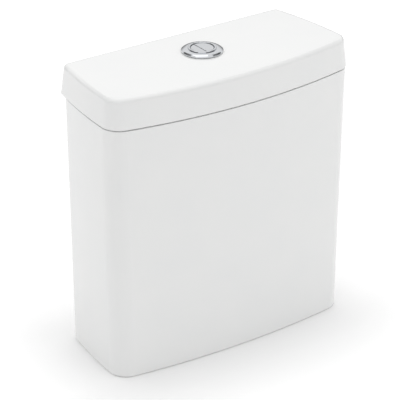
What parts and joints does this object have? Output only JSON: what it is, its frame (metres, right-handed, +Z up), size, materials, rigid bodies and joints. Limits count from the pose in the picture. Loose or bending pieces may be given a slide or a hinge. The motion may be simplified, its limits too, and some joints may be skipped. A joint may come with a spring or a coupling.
{
  "type": "toilet cistern",
  "caption": "Close-coupled white ceramic toilet cistern with a lift-off lid, dual-flush push button, flush valve, bottom-inlet fill valve and pan fixings.",
  "frame": {"origin": "centre of the cistern's bounding box in plan, on the surface that it stands on", "axes": "+Z up, +Y back towards the wall, -Y out through the bowed front, +X to the right seen from the front"},
  "size_m": [0.375, 0.1676, 0.3978],
  "materials": {
    "glazed_china": "glossy white glaze",
    "chrome_plate": "mirror chrome plate on ABS",
    "white_polypropylene": "moulded, satin",
    "white_acetal": "moulded, smooth",
    "grey_abs": "moulded, satin",
    "blue_polypropylene": "moulded, satin",
    "red_polypropylene": "moulded, satin",
    "black_rubber": "moulded rubber",
    "grey_silicone": "moulded silicone",
    "foam_rubber": "open-cell sponge rubber",
    "stainless_steel": "bright drawn",
    "zinc_steel": "zinc plated",
    "brass": "turned brass"
  },
  "bodies": {
    "tank_body": {"tank": "glazed_china", "valve_base": "white_polypropylene", "valve_base_seal": "black_rubber", "outlet_nut": "white_polypropylene", "coupling_gasket": "foam_rubber", "tower_cage": "white_polypropylene", "tower_head": "white_polypropylene", "lever_pins": "stainless_steel", "inlet_shank": "white_acetal", "inlet_seal": "black_rubber", "inlet_nut": "white_polypropylene", "inlet_filter": "blue_polypropylene", "riser_tube": "white_acetal", "height_lock_ring": "red_polypropylene", "fill_valve_head": "white_acetal", "fill_valve_diaphragm": "grey_silicone", "fill_valve_cap": "blue_polypropylene", "float_lever_pin": "stainless_steel", "pan_bolts": "brass", "pan_bolt_seals": "black_rubber", "pan_bolt_washers": "zinc_steel", "pan_bolt_nuts": "brass", "pan_wing_nuts": "white_polypropylene"},
    "lid_body": {"lid": "glazed_china", "button_bezel": "chrome_plate", "bezel_gasket": "grey_silicone", "button_clamp_nut": "white_polypropylene", "button_guide": "white_polypropylene", "half_button_spring": "stainless_steel", "full_button_spring": "stainless_steel"},
    "half_button_body": {"half_flush_button": "chrome_plate", "half_push_rod": "white_acetal"},
    "full_button_body": {"full_flush_button": "chrome_plate", "full_push_rod": "white_acetal"},
    "half_lever_body": {"half_flush_lever": "blue_polypropylene"},
    "full_lever_body": {"full_flush_lever": "grey_abs"},
    "tube_body": {"overflow_tube": "white_polypropylene", "lift_collar": "blue_polypropylene", "flush_seal": "grey_silicone", "seal_retainer": "grey_abs", "tube_float": "white_polypropylene"},
    "sleeve_body": {"port_sleeve": "blue_polypropylene", "port_sleeve_seals": "black_rubber"},
    "float_lever_body": {"float_lever": "white_acetal", "pilot_seal": "black_rubber"},
    "float_body": {"float": "white_polypropylene", "float_link": "white_acetal", "float_clip": "red_polypropylene"}
  },
  "joints": [
    {"name": "lid_lift", "type": "slide", "parent": "tank_body", "child": "lid_body", "axis": [0, 0, 1], "range_m": [0, 0.12]},
    {"name": "half_button_press", "type": "slide", "parent": "lid_body", "child": "half_button_body", "axis": [0, 0, -1], "range_m": [0, 0.0063], "stiffness_N_per_m": 250, "springref_m": -0.008, "deforming": ["half_button_spring"]},
    {"name": "full_button_press", "type": "slide", "parent": "lid_body", "child": "full_button_body", "axis": [0, 0, -1], "range_m": [0, 0.0063], "stiffness_N_per_m": 250, "springref_m": -0.008, "deforming": ["full_button_spring"]},
    {"name": "half_lever_turn", "type": "hinge", "parent": "tank_body", "child": "half_lever_body", "pos_m": [0, 0.012, 0.2945], "axis": [0, -1, 0], "range_deg": [0, 30]},
    {"name": "full_lever_turn", "type": "hinge", "parent": "tank_body", "child": "full_lever_body", "pos_m": [0, 0.012, 0.2945], "axis": [0, 1, 0], "range_deg": [0, 30]},
    {"name": "tube_rise", "type": "slide", "parent": "tank_body", "child": "tube_body", "axis": [0, 0, 1], "range_m": [0, 0.01415]},
    {"name": "sleeve_rise", "type": "slide", "parent": "tube_body", "child": "sleeve_body", "axis": [0, 0, 1], "range_m": [0, 0.01415]},
    {"name": "float_rise", "type": "slide", "parent": "tank_body", "child": "float_body", "axis": [0, 0, 1], "range_m": [0, 0.01247]},
    {"name": "float_lever_turn", "type": "hinge", "parent": "tank_body", "child": "float_lever_body", "pos_m": [-0.115, 0.012, 0.302], "axis": [0, -1, 0], "range_deg": [0, 24]}
  ],
  "couplings": [
    {"joint": "half_lever_turn", "follows": "half_button_press", "rad_per_m": 82.59},
    {"joint": "sleeve_rise", "follows": "half_button_press", "ratio": 2.2317},
    {"joint": "full_lever_turn", "follows": "full_button_press", "rad_per_m": 82.59},
    {"joint": "tube_rise", "follows": "full_button_press", "ratio": 2.2317},
    {"joint": "float_lever_turn", "follows": "float_rise", "rad_per_m": 33.578}
  ]
}
